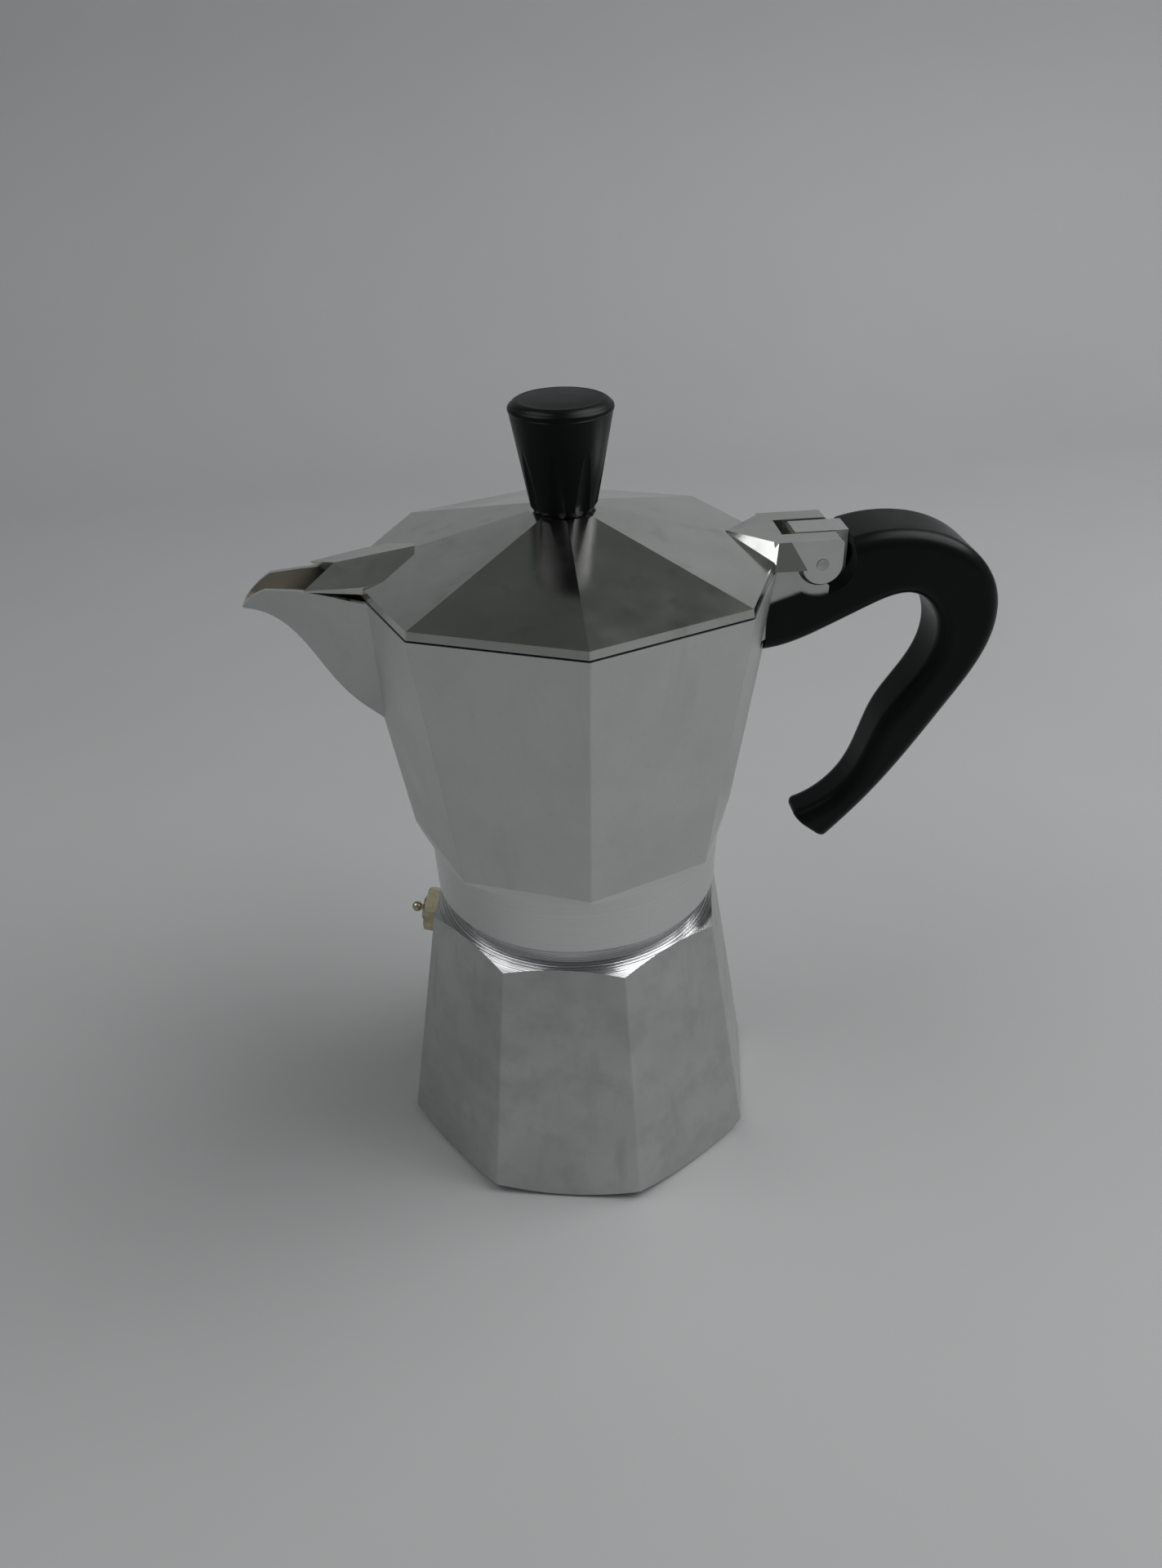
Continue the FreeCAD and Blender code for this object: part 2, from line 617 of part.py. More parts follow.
# Funnel: thin turned cup with a stem, and a perforated screen pressed onto its ledge.
def make_funnel():
    funnel = turned(
        "funnel",
        [
            ("cup_inner", "funnel_top"),
            ("flange_radius", "funnel_top"),
            ("flange_radius", "neck_top + 0.05"),
            ("cup_outer", "neck_top + 0.05"),
            ("cup_outer", "screen_seat - cup_wall"),
            ("stem_radius", "cone_foot - cup_wall"),
            ("stem_radius", "boiler_floor + stem_clear"),
            ("stem_radius - cup_wall", "boiler_floor + stem_clear"),
            ("stem_radius - cup_wall", "cone_foot"),
            ("cup_inner - screen_ledge", "screen_seat"),
            ("cup_inner", "screen_seat"),
        ],
    )
    subpart("funnel", funnel)
    radius = "cup_inner - 0.05"
    screen = turned(
        "funnel_screen",
        [
            ("0", "screen_seat"),
            (radius, "screen_seat"),
            (radius, "screen_seat + screen_thick"),
            ("0", "screen_seat + screen_thick"),
        ],
    )
    perforate(screen, "funnel_screen", "screen_seat - 1")
    subpart("funnel_screen", screen)


def perforate(body, name, foot, rings=4):
    """Rings of small round holes through a flat body, six more in each ring."""
    middle = new_sketch(body, f"{name}_middle", "XY_Plane", foot)
    through_holes(body, middle, f"{name}_middle_hole", "0")
    for ring in range(1, rings + 1):
        sketch = new_sketch(body, f"{name}_ring{ring}", "XY_Plane", foot)
        pocket = through_holes(body, sketch, f"{name}_hole{ring}", f"{ring} * hole_step")
        pattern = body.newObject("PartDesign::PolarPattern", f"{name}_pattern{ring}")
        pattern.Originals = [pocket]
        pattern.Axis = (sketch, ["N_Axis"])
        pattern.Angle = 360
        pattern.Occurrences = 6 * ring
        body.Tip = pattern
        doc.recompute()


def through_holes(body, sketch, name, across):
    """One perforation cut upwards from a sketch under the plate."""
    circle = Part.Circle(FreeCAD.Vector(size(across), 0, 0), FreeCAD.Vector(0, 0, 1), size("hole_radius"))
    sketch.addGeometry(circle)
    mark = sketch.addConstraint(Sketcher.Constraint("Radius", 0, size("hole_radius")))
    sketch.setExpression(f"Constraints[{mark}]", bound("hole_radius"))
    bind_point(sketch, 0, 3, (across, "0"))
    pocket = body.newObject("PartDesign::Pocket", name)
    pocket.Profile = sketch
    pocket.Length = 10
    pocket.Reversed = True
    body.Tip = pocket
    doc.recompute()
    return pocket


# Ring gasket and dished filter plate under the collector.
def make_seals():
    bead = "0.6"
    gasket = turned(
        "gasket",
        [
            ("gasket_inner", f"gasket_foot + {bead}", bead),
            (f"gasket_inner + {bead}", "gasket_foot"),
            (f"gasket_outer - {bead}", "gasket_foot", bead),
            ("gasket_outer", f"gasket_foot + {bead}"),
            ("gasket_outer", f"plate_foot - {bead}", bead),
            (f"gasket_outer - {bead}", "plate_foot"),
            (f"gasket_inner + {bead}", "plate_foot", bead),
            ("gasket_inner", f"plate_foot - {bead}"),
        ],
    )
    subpart("gasket", gasket)
    rim = "gasket_inner - 1"
    plate = turned(
        "filter_plate",
        [
            ("0", "plate_foot + plate_rise"),
            (f"{rim} - 1.5", "plate_foot + plate_rise"),
            (rim, "plate_foot"),
            ("plate_radius", "plate_foot"),
            ("plate_radius", "plate_foot + plate_thick"),
            (rim, "plate_foot + plate_thick"),
            (f"{rim} - 1.5", "plate_foot + plate_rise + plate_thick"),
            ("0", "plate_foot + plate_rise + plate_thick"),
        ],
    )
    perforate(plate, "filter_plate", "plate_foot - 1")
    subpart("filter_plate", plate)


# Collector: eight-sided casting on a turned collar, with spout, bracket and tab.
def make_collector():
    sides = eight_sided(
        "collector_sides",
        ("waist_radius - collector_taper * (undercut_rise + 4)", "waist_height - 4"),
        ("rim_radius + 4 * collector_taper", "rim_height + 4"),
        "0",
        "edge_round * 0.7",
    )
    collar_top = "collar_radius + collar_flare"
    undercut = f"undercut_rise / (waist_radius - {collar_top})"
    envelope = turned(
        "collector_envelope",
        [
            ("0", "waist_height - 1"),
            (collar_top, "waist_height - 1"),
            (collar_top, "waist_height"),
            ("rim_radius + 10", f"waist_height + (rim_radius + 10 - {collar_top}) * {undercut}"),
            ("rim_radius + 10", "rim_height + 5"),
            ("0", "rim_height + 5"),
        ],
    )
    collar = turned(
        "collar",
        [
            ("0", "collar_foot"),
            ("collar_radius - 0.5", "collar_foot"),
            ("collar_radius", "collar_foot + 0.5"),
            (collar_top, "waist_height"),
            (collar_top, "waist_height + 1"),
            ("0", "waist_height + 1"),
        ],
    )
    rim_line = side_plate(
        "rim_line",
        [
            ("-spout_reach - 5", "lip_height - 2"),
            ("-spout_reach + 0.3", "lip_height + 1.8", "-16"),
            ("-spout_reach + 6.5", "rim_height + 0.8"),
            ("-spout_reach + 14", "rim_height + 0.8"),
            ("-rim_radius + 3", "rim_height"),
            ("rim_radius + 5", "rim_height"),
            ("rim_radius + 5", "spout_top + 2"),
            ("-spout_reach - 5", "spout_top + 2"),
        ],
        "rim_radius + 5",
    )
    trimmed = common("collector_outside", sides, envelope)
    blank = fuse("vessel_blank", trimmed, spout_solid("spout_outside", "0", "0"))
    vessel = fuse("vessel", cut("vessel_trimmed", blank, rim_line), collar, make_bracket())

    wall_across = f"wall / cos({HALF_FACET})"
    hollow = eight_sided(
        "collector_hollow",
        (f"rim_radius - collector_taper * (rim_height - chamber_floor) - {wall_across}", "chamber_floor"),
        (f"rim_radius + 3 * collector_taper - {wall_across}", "rim_height + 3"),
    )
    trough = spout_solid("spout_trough", "spout_wall", "1")
    socket = turned(
        "socket",
        [
            ("0", "collar_foot - 1"),
            ("collar_bore", "collar_foot - 1"),
            ("collar_bore", "plate_foot"),
            ("plate_radius + 0.3", "plate_foot"),
            ("plate_radius + 0.3", "socket_top"),
            ("gasket_inner", "socket_top"),
            ("gasket_inner", "socket_top + plate_rise"),
            ("column_base + column_lip + 0.1", "chamber_floor - 2"),
            ("0", "chamber_floor - 2"),
        ],
    )
    column_hole = rod("column_hole", "column_base", "8")
    column_hole.setExpression("Placement.Base.z", bound("chamber_floor - 4"))
    hinge_hole = cross_rod("tab_hole", "pin_radius + 0.02", "hood_half")
    subpart("collector", cut("collector_cut", vessel, hollow, trough, socket, column_hole, hinge_hole))


# Sections of the spout: distance from the axis, keel height, half widths at the top and of the round keel.
SPOUT = [
    ("spout_root", "spout_keel", "spout_half", "1.2"),
    ("spout_root + 12", "spout_keel + 18.8", "0.673 * spout_half", "1.6"),
    ("spout_root + 20", "spout_keel + 31.3", "0.493 * spout_half", "2.2"),
    ("spout_reach - 9.7", "lip_height - 5.4", "lip_half + 3", "2.7"),
    ("spout_reach - 4.7", "lip_height - 1.5", "lip_half + 2", "3.1"),
    ("spout_reach", "lip_height", "lip_half", "3.5"),
]


def spout_solid(name, inset, longer):
    """Loft through the spout's sections, drawn in by an inset and made longer at both ends."""
    sections = []
    for number, (across, keel, half, bottom) in enumerate(SPOUT):
        sketch = doc.addObject("Sketcher::SketchObject", f"{name}_{number}")
        turn = FreeCAD.Rotation(FreeCAD.Vector(1, 1, 1), 120)
        sketch.Placement = FreeCAD.Placement(FreeCAD.Vector(0, 0, 0), turn)
        stretch = {0: f"- 4 * {longer}", len(SPOUT) - 1: f"+ {longer}"}.get(number, "")
        sketch.setExpression("Placement.Base.x", bound(f"-({across} {stretch})"))
        low = f"{keel} + 1.1 * {inset}"
        side = f"{half} - {inset}"
        round_half = f"({bottom} - 0.2 * {inset})"
        chord = f"{low} + 0.75 * {round_half}"
        outline(
            sketch,
            [
                (side, "spout_top"),
                (f"-({side})", "spout_top"),
                (f"-{round_half}", chord, f"{dome_radius(round_half, '0.75 * ' + round_half)}"),
                (round_half, chord),
            ],
        )
        sections.append(sketch)
    solid = doc.addObject("Part::Loft", name)
    solid.Sections = sections
    solid.Solid = True
    return solid


def make_bracket():
    """Block on the collector's wall, cleared for the lid's ears, with a tab between them."""
    block = side_plate(
        "bracket_block",
        block_underside("0")
        + [
            ("bracket_rear", "pin_height - ear_radius - 1.2"),
            ("pin_across - ear_radius + 0.6", "rim_height - 0.2"),
            ("rim_radius - 10", "rim_height - 0.2"),
        ],
        "bracket_half",
    )
    ear_clearance = cross_rod("ear_clearance", "ear_radius + 0.4 + swing_gap", "hood_half + 1")
    cleared = cut("bracket_cleared", block, ear_clearance)
    tab = side_plate(
        "bracket_tab",
        tab_underside("0")
        + [
            ("tab_rear", "hood_top - 0.1"),
            ("tab_front + 0.7", "hood_top - 0.1"),
            ("tab_front", "hood_top - 0.8"),
            ("tab_front", "rim_height - 0.2"),
            ("rim_radius - 6", "rim_height - 0.2"),
        ],
        "tab_half",
    )
    tongue_room = side_plate("tongue_room", tongue_outline("0", "tab_rear + 1"), "tongue_half + seat_gap")
    return cut("bracket", fuse("bracket_solid", cleared, tab), tongue_room)


def block_underside(drop):
    """Lower line of the bracket's block in side view, moved outwards by a drop."""
    return [
        ("rim_radius - 10", f"bracket_foot - {drop}"),
        ("pin_across - ear_radius", f"nose_high - 6 - {drop}"),
        (f"bracket_rear + {drop}", f"nose_high - 2 - {drop}"),
    ]


def tab_underside(drop):
    """Lower line of the bracket's tab in side view, moved outwards by a drop."""
    return [
        ("rim_radius - 6", f"nose_high - 8 - {drop}"),
        ("pin_across", f"nose_high - 4 - {drop}"),
        (f"tab_rear + {drop}", f"pin_height - ear_radius - 1 - {drop}"),
    ]


def tongue_outline(inset, rear):
    """Side view of the handle's tongue, drawn in by an inset."""
    front = f"pin_across - 3.2 + {inset}"
    low = f"pin_height - 3.4 + {inset}"
    high = f"pin_height + 3.4 - {inset}"
    return [(front, low), (rear, low), (rear, high), (front, high)]


# Column: hollow cone pressed through the floor from below, with two side outlets under a closed top.
def make_column():
    foot = "chamber_floor - 2"
    inner_dome = dome_radius("column_bore", "column_dome - column_wall")
    column = turned(
        "column_turned",
        [
            ("column_base - column_wall", f"{foot} - 1.2"),
            ("column_base + column_lip", f"{foot} - 1.2"),
            ("column_base + column_lip", foot),
            ("column_base", foot),
            ("column_base", "chamber_floor"),
            ("column_tip", "column_top - column_dome", dome_radius("column_tip", "column_dome")),
            ("0", "column_top"),
            ("0", "column_top - column_wall", f"-({inner_dome})"),
            ("column_bore", "column_top - column_dome"),
            ("column_base - column_wall", "chamber_floor"),
        ],
    )
    across = FreeCAD.Rotation(FreeCAD.Vector(1, 0, 0), 90)
    turned_across = FreeCAD.Placement(FreeCAD.Vector(), across)
    outlet = rod("column_outlet", "outlet_radius", "4 * column_tip", turned_across)
    outlet.setExpression("Placement.Base.y", bound("2 * column_tip"))
    outlet.setExpression("Placement.Base.z", bound("column_top - column_dome - outlet_radius - 1"))
    subpart("column", cut("column_cut", column, outlet))


# Lid: eight-sided shell with a rim band, spout cover, hinge hood and ears.
def make_lid():
    band = eight_sided("lid_band", ("lid_radius", "lid_foot"), ("band_radius", "band_top"))
    roof = eight_sided("lid_roof", ("band_radius", "band_top"), ("seat_radius", "lid_top"))
    hood = plan_plate(
        "hood_nose",
        [
            ("hood_tip", "0"),
            ("hood_front", "-hood_half"),
            ("slot_front + 1", "-hood_half"),
            ("slot_front + 1", "hood_half"),
            ("hood_front", "hood_half"),
        ],
        "0",
        "hood_top - lid_foot",
        "hood_draft",
    )
    hood.Placement = FreeCAD.Placement(
        FreeCAD.Vector(0, 0, size("hood_top")), FreeCAD.Rotation(FreeCAD.Vector(1, 0, 0), 180)
    )
    ears = side_plate(
        "hood_ears",
        [
            ("hood_front - 1", "lid_foot"),
            ("pin_across - ear_radius", "lid_foot"),
            ("pin_across - ear_radius", "pin_height", "ear_radius"),
            ("pin_across", "pin_height - ear_radius", "ear_radius"),
            ("pin_across + ear_radius", "pin_height"),
            ("pin_across + ear_radius", "hood_top - 1.2", "1.2"),
            ("pin_across + ear_radius - 1.2", "hood_top"),
            ("hood_front - 1", "hood_top"),
        ],
        "hood_half",
    )
    slot = side_plate(
        "hood_slot",
        [
            ("slot_front", "pin_height - ear_radius - 2"),
            ("tab_rear + 4", "pin_height - ear_radius - 2"),
            ("tab_rear + 4", "hood_top + 2"),
            ("slot_front", "hood_top + 2"),
        ],
        "slot_half",
    )
    inside = f"band_radius - lid_wall / cos({HALF_FACET}) - 1"
    mouth = eight_sided("lid_mouth", (f"{inside} + band_lean", "lid_foot - 0.5"), (inside, "band_top - 0.6"))
    hollow = eight_sided("lid_hollow", (inside, "band_top - 0.6"), ("seat_radius", "lid_top - lid_wall"))
    screw_hole = rod("knob_screw_hole", "screw_radius + 0.2", "20")
    screw_hole.setExpression("Placement.Base.z", bound("lid_top - 10"))
    solid = fuse("lid_solid", band, roof, hood, ears, make_cover())
    hinge_hole = cross_rod("ear_hole", "pin_radius + pin_play", "hood_half + 1")
    subpart("lid", cut("lid_cut", solid, mouth, hollow, slot, screw_hole, hinge_hole))


def make_cover():
    """Cover over the spout: a low gable with a V notch in its outer end."""
    inner = "lid_radius * cos(22.5 deg) - 14"
    plan = plan_plate(
        "cover_plan",
        [
            (f"-({inner})", "cover_root * 0.9"),
            ("-(lid_radius - cover_root * tan(22.5 deg))", "cover_root"),
            ("-cover_reach", "cover_half"),
            ("-notch_reach", "0"),
            ("-cover_reach", "-cover_half"),
            ("-(lid_radius - cover_root * tan(22.5 deg))", "-cover_root"),
            (f"-({inner})", "-cover_root * 0.9"),
        ],
        "rim_height + cover_clear + 0.6",
        "20",
    )
    gable = doc.addObject("Part::Feature", "cover_gable")
    top = FreeCAD.Vector(-size("notch_reach"), 0, size("notch_height"))
    along = FreeCAD.Vector(1, 0, size("cover_slope"))
    side = 2 * size("cover_root")
    drop = FreeCAD.Vector(0, 0, side * size("cover_fall"))
    deep = FreeCAD.Vector(0, 0, 20)
    ends = []
    for distance in (-20, 30):
        ridge = top + along * distance
        left = ridge + FreeCAD.Vector(0, side, 0) - drop
        right = ridge - FreeCAD.Vector(0, side, 0) - drop
        ends.append(Part.makePolygon([ridge, left, left - deep, right - deep, right, ridge]))
    gable.Shape = Part.makeLoft(ends, True, True)
    return common("cover", plan, gable)


# Knob: fluted moulding on a threaded insert, held by a screw and washer from inside the lid.
def make_knob():
    widest = "knob_seat + knob_height - knob_crown"
    knob = turned(
        "knob",
        [
            ("insert_radius", "knob_seat"),
            ("knob_foot", "knob_seat"),
            ("knob_waist", "knob_seat + 1.4"),
            ("knob_radius - 0.2", f"{widest} - 1", "1.1"),
            ("knob_radius - 0.6", f"{widest} + 0.7", "2.6"),
            ("knob_radius - 3", "knob_seat + knob_height - 0.5", dome_radius("knob_radius - 3", "0.5")),
            ("0", "knob_seat + knob_height"),
            ("0", "knob_seat + insert_length + 0.5"),
            ("insert_radius", "knob_seat + insert_length + 0.5"),
        ],
    )
    doc.recompute()
    lean = "atan((knob_radius - knob_waist) / (knob_height - knob_crown - 2.4) + flute_fade)"
    sketch = knob.newObject("Sketcher::SketchObject", "flute_outline")
    sketch.AttachmentSupport = [(origin_plane(knob, "XZ_Plane"), "")]
    sketch.MapMode = "FlatFace"
    sketch.setExpression("AttachmentOffset.Base.x", bound("knob_waist + 0.2 + flute_radius - flute_depth"))
    sketch.setExpression("AttachmentOffset.Base.y", bound("knob_seat + 1.2"))
    sketch.setExpression("AttachmentOffset.Rotation.Angle", bound(f"-{lean}"))
    length = "knob_height - knob_crown - 1"
    outline(
        sketch,
        [
            ("0", "-flute_radius"),
            ("flute_radius", "-flute_radius"),
            ("flute_radius", f"{length} - flute_radius", "flute_radius"),
            ("0", length),
        ],
    )
    flute = knob.newObject("PartDesign::Groove", "flute")
    flute.Profile = sketch
    flute.ReferenceAxis = (sketch, ["V_Axis"])
    flute.Angle = 360
    doc.recompute()
    flutes = knob.newObject("PartDesign::PolarPattern", "flutes")
    flutes.Originals = [flute]
    flutes.Axis = (knob.Origin.OriginFeatures[2], [""])
    flutes.Angle = 360
    flutes.setExpression("Occurrences", bound("flute_count"))
    knob.Tip = flutes
    knob.setExpression("Placement.Rotation.Angle", bound("flute_turn"))
    subpart("knob", knob)

    bore = "screw_radius"
    insert = turned(
        "knob_insert",
        [
            (bore, "knob_seat"),
            ("insert_radius", "knob_seat"),
            ("insert_radius", "knob_seat + insert_length"),
            ("0", "knob_seat + insert_length"),
            ("0", "knob_seat + insert_length - 2"),
            (bore, "knob_seat + insert_length - 2"),
        ],
    )
    subpart("knob_insert", insert)

    under = "lid_top - lid_wall"
    washer = turned(
        "knob_washer",
        [
            ("screw_radius + 0.2", f"{under} - knob_washer_thick"),
            ("knob_washer", f"{under} - knob_washer_thick"),
            ("knob_washer", under),
            ("screw_radius + 0.2", under),
        ],
    )
    subpart("knob_washer", washer)
    head_top = f"{under} - knob_washer_thick"
    screw = turned(
        "knob_screw",
        [
            ("0", f"{head_top} - screw_head_height"),
            ("screw_head * 0.6", f"{head_top} - screw_head_height", "screw_head * 1.2"),
            ("screw_head", f"{head_top} - screw_head_height * 0.4"),
            ("screw_head", head_top),
            ("screw_radius", head_top),
            ("screw_radius", "knob_seat + insert_length - 3"),
            ("0", "knob_seat + insert_length - 3"),
        ],
    )
    subpart("knob_screw", screw)


def place_points(corners):
    """Points of the XZ plane from corners (across, height)."""
    return [FreeCAD.Vector(size(across), 0, size(height)) for across, height in corners]


def spline(corners):
    """One smooth edge through corners of the XZ plane."""
    curve = Part.BSplineCurve()
    curve.interpolate(place_points(corners))
    return curve.toShape()


def straight(corners):
    """Straight edges through corners of the XZ plane."""
    return Part.makePolygon(place_points(corners))


# Handle: moulded loop that wraps the bracket and reaches into its tab with a tongue.
def make_handle():
    outer = [
        ("handle_front", "handle_top - 1.8"),
        ("handle_reach - 26.8", "handle_top - 0.5"),
        ("handle_reach - 12.1", "handle_top - 4.9"),
        ("handle_reach - 0.9", "elbow_height + 9.9"),
        ("handle_reach", "elbow_height"),
        ("handle_reach - 9.5", "elbow_height - 22.4"),
        ("end_across + 13.1", "end_height + 15.4"),
        ("end_across", "end_height"),
    ]
    inner = [
        ("end_across - end_face * 0.77", "end_height + end_face * 0.64"),
        ("end_across - 2.4", "end_height + 11.8"),
        ("end_across + 6", "end_height + 20.4"),
        ("finger_reach - 11.1", "elbow_height - 25.8"),
        ("finger_reach - 0.8", "elbow_height - 8.9"),
        ("finger_reach - 0.7", "elbow_height + 3.5"),
        ("finger_reach - 7.3", "arm_under - 0.6"),
        ("finger_reach - 20.2", "arm_under - 3.6"),
        ("finger_reach - 30", "arm_under - 8.4"),
        ("rim_radius - 6", "nose_low"),
    ]
    nose = [
        ("rim_radius - 6", "nose_low"),
        ("rim_radius - 6", "nose_high - 0.4"),
        ("pin_across - ear_radius", "nose_high + 2.2"),
        ("handle_front", "pin_height - 3"),
        ("handle_front", "handle_top - 1.8"),
    ]
    end = [outer[-1], inner[0]]
    wire = Part.Wire([spline(outer), straight(end), spline(inner), straight(nose)])
    half = size("handle_half + 2")
    face = Part.Face(wire)
    face.translate(FreeCAD.Vector(0, -half, 0))
    blank = doc.addObject("Part::Feature", "handle_side")
    blank.Shape = face.extrude(FreeCAD.Vector(0, 2 * half, 0))
    front = doc.addObject("PartDesign::Body", "handle_front_view")
    sketch = new_sketch(front, "handle_front_outline", "YZ_Plane", "rim_radius - 10")
    outline(
        sketch,
        [
            ("-grip_half", "end_height"),
            ("grip_half", "end_height"),
            ("handle_half", "handle_top + 4"),
            ("-handle_half", "handle_top + 4"),
        ],
    )
    pad = front.newObject("PartDesign::Pad", "handle_front_pad")
    pad.Profile = sketch
    pad.setExpression("Length", bound("handle_reach"))
    shape = common("handle_blank", blank, front)

    def long_edge(edge):
        return edge.Length > 2 * size("handle_half + grip_half")

    corner, far = (FreeCAD.Vector(size(across), 0, size(up)) for across, up in end)
    normal = (far - corner).cross(FreeCAD.Vector(0, 1, 0)).normalize()

    def end_edge(edge):
        return all(abs((vertex.Point - corner).dot(normal)) < 0.01 for vertex in edge.Vertexes)

    moulded = rounded("handle_rounded", shape, "handle_round", long_edge)
    moulded = rounded("handle_finished", moulded, "end_round", end_edge)
    wrap = eight_sided(
        "handle_wall_clearance",
        ("waist_radius + 0.25", "waist_height + undercut_rise"),
        ("rim_radius + 0.25", "rim_height"),
    )
    room = side_plate(
        "bracket_room",
        block_underside("seat_gap")
        + [("bracket_rear + seat_gap", "hood_top + 4"), ("rim_radius - 10", "hood_top + 4")],
        "bracket_half + seat_gap",
    )
    tab_room = side_plate(
        "tab_room",
        tab_underside("seat_gap")
        + [("tab_rear + seat_gap", "hood_top + 4"), ("rim_radius - 6", "hood_top + 4")],
        "tab_half + seat_gap",
    )
    swing = cross_rod("ear_swing", "ear_radius + 3.2 + swing_gap", "handle_half + 1")
    tongue = side_plate("handle_tongue", tongue_outline("seat_gap", "tab_rear + 4"), "tongue_half")
    hollowed = cut("handle_hollowed", moulded, wrap, room, tab_room, swing)
    hinge_hole = cross_rod("tongue_hole", "pin_radius + 0.02", "hood_half")
    subpart("handle", cut("handle_cut", fuse("handle_solid", hollowed, tongue), hinge_hole))


# Hinge pin: through the ears, the tab and the tongue.
def make_hinge_pin():
    subpart("hinge_pin", cross_rod("hinge_pin", "pin_radius", "hood_half + 0.2"))


def main():
    make_boiler()
    make_valve()
    make_funnel()
    make_seals()
    make_collector()
    make_column()
    make_lid()
    make_knob()
    make_handle()
    make_hinge_pin()
    doc.recompute()
    faults = [item.Name for item in doc.Objects if {"Invalid", "Error"} & set(item.State)]
    for label, item in PARTS.items():
        if item.Shape.isNull() or not item.Shape.isValid() or len(item.Shape.Solids) != 1:
            faults.append(f"{label}: {len(item.Shape.Solids)} solids")
    if faults:
        raise RuntimeError(f"not built: {faults}")
    for label, item in PARTS.items():
        item.Shape.exportStep(f"parts/{label}.step")


main()
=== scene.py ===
import math

import bpy
from mathutils import Matrix, Vector


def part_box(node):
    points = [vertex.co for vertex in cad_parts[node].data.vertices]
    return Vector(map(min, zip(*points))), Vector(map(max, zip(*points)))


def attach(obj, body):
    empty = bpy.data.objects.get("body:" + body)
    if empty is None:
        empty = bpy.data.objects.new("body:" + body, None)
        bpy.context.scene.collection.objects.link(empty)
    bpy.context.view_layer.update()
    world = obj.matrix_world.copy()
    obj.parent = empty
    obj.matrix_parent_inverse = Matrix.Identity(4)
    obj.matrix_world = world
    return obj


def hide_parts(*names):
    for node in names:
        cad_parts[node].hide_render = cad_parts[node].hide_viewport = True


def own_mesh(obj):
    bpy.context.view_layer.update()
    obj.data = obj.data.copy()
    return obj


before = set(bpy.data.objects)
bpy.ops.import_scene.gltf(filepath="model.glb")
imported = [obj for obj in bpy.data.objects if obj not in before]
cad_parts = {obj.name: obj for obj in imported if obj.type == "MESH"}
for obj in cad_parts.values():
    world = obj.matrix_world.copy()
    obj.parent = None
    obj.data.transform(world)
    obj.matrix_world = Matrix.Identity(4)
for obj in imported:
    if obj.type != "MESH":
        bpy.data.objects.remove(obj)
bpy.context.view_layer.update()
MM = 0.001
MERGE_DISTANCE = 0.001 * MM

# Numbers of a mix node's sockets for two colours and their mixture
MIX_SHARE = 0
MIX_FIRST = 6
MIX_SECOND = 7
MIX_RESULT = 2


# Camera at the photograph's angle, for a frame of 1423 by 1920
def place_camera():
    azimuth = math.radians(265.08)
    elevation = math.radians(31.99)
    roll = math.radians(-1.71)
    distance = 339.1 * MM
    aim_sideways = 2.107 * MM
    aim_height = 109.13 * MM
    focal_pixels = 1500
    frame_pixels = 1920
    sensor = 36
    flat = math.cos(elevation)
    back = Vector((math.cos(azimuth) * flat, math.sin(azimuth) * flat, math.sin(elevation)))
    level = Vector((-math.sin(azimuth), math.cos(azimuth), 0))
    steep = back.cross(level)
    right = level * math.cos(roll) + steep * math.sin(roll)
    upward = steep * math.cos(roll) - level * math.sin(roll)
    target = level * aim_sideways + Vector((0, 0, aim_height))
    camera = bpy.data.objects.new("photo_camera", bpy.data.cameras.new("photo_camera"))
    bpy.context.scene.collection.objects.link(camera)
    turn = Matrix((right, upward, back)).transposed().to_4x4()
    camera.matrix_world = Matrix.Translation(target + back * distance) @ turn
    camera.data.sensor_width = sensor
    camera.data.lens = sensor * focal_pixels / frame_pixels
    camera.data.clip_start = 10 * MM
    bpy.context.scene.camera = camera


# Soft lamps: a broad one high on the right, a weaker one high on the left
def add_lamp(name, place, aim, width, power):
    data = bpy.data.lights.new(name, "AREA")
    data.shape = "SQUARE"
    data.size = width
    data.energy = power
    lamp = bpy.data.objects.new(name, data)
    bpy.context.scene.collection.objects.link(lamp)
    lamp.location = place
    lamp.rotation_euler = (Vector(aim) - Vector(place)).to_track_quat("-Z", "Y").to_euler()


def light_studio():
    aim = (0, 0, 0.05)
    add_lamp("right_softbox", place=(0.8, -0.05, 1.05), aim=aim, width=1.1, power=16)
    add_lamp("left_softbox", place=(-0.75, -0.1, 1.1), aim=aim, width=0.9, power=5)
    bpy.context.scene.view_settings.view_transform = "Standard"


# Grey room round the stage, paler at eye level than overhead
def light_room():
    eye_level = (0.22, 0.23, 0.23)
    overhead = (0.055, 0.06, 0.055)
    world = bpy.data.worlds.new("studio_air")
    bpy.context.scene.world = world
    world.use_nodes = True
    tree = world.node_tree
    where = add_node(tree, "ShaderNodeTexCoord")
    height = parts_of(tree, where.outputs["Generated"])[2]
    climb = spread(tree, height, low=0.15, high=0.85)
    feed(tree, tree.nodes["Background"].inputs["Color"], blend(tree, climb, eye_level, overhead))


# Selection by place, in edit mode
def pick_edges(piece, wanted):
    if bpy.context.mode != "EDIT_MESH":
        bpy.ops.object.mode_set(mode="EDIT")
    bpy.ops.mesh.select_mode(type="EDGE")
    bpy.ops.mesh.select_all(action="DESELECT")
    bpy.ops.object.mode_set(mode="OBJECT")
    mesh = piece.data
    for edge in mesh.edges:
        first, second = (mesh.vertices[number].co for number in edge.vertices)
        edge.select = wanted((first + second) / 2)
    bpy.ops.object.mode_set(mode="EDIT")


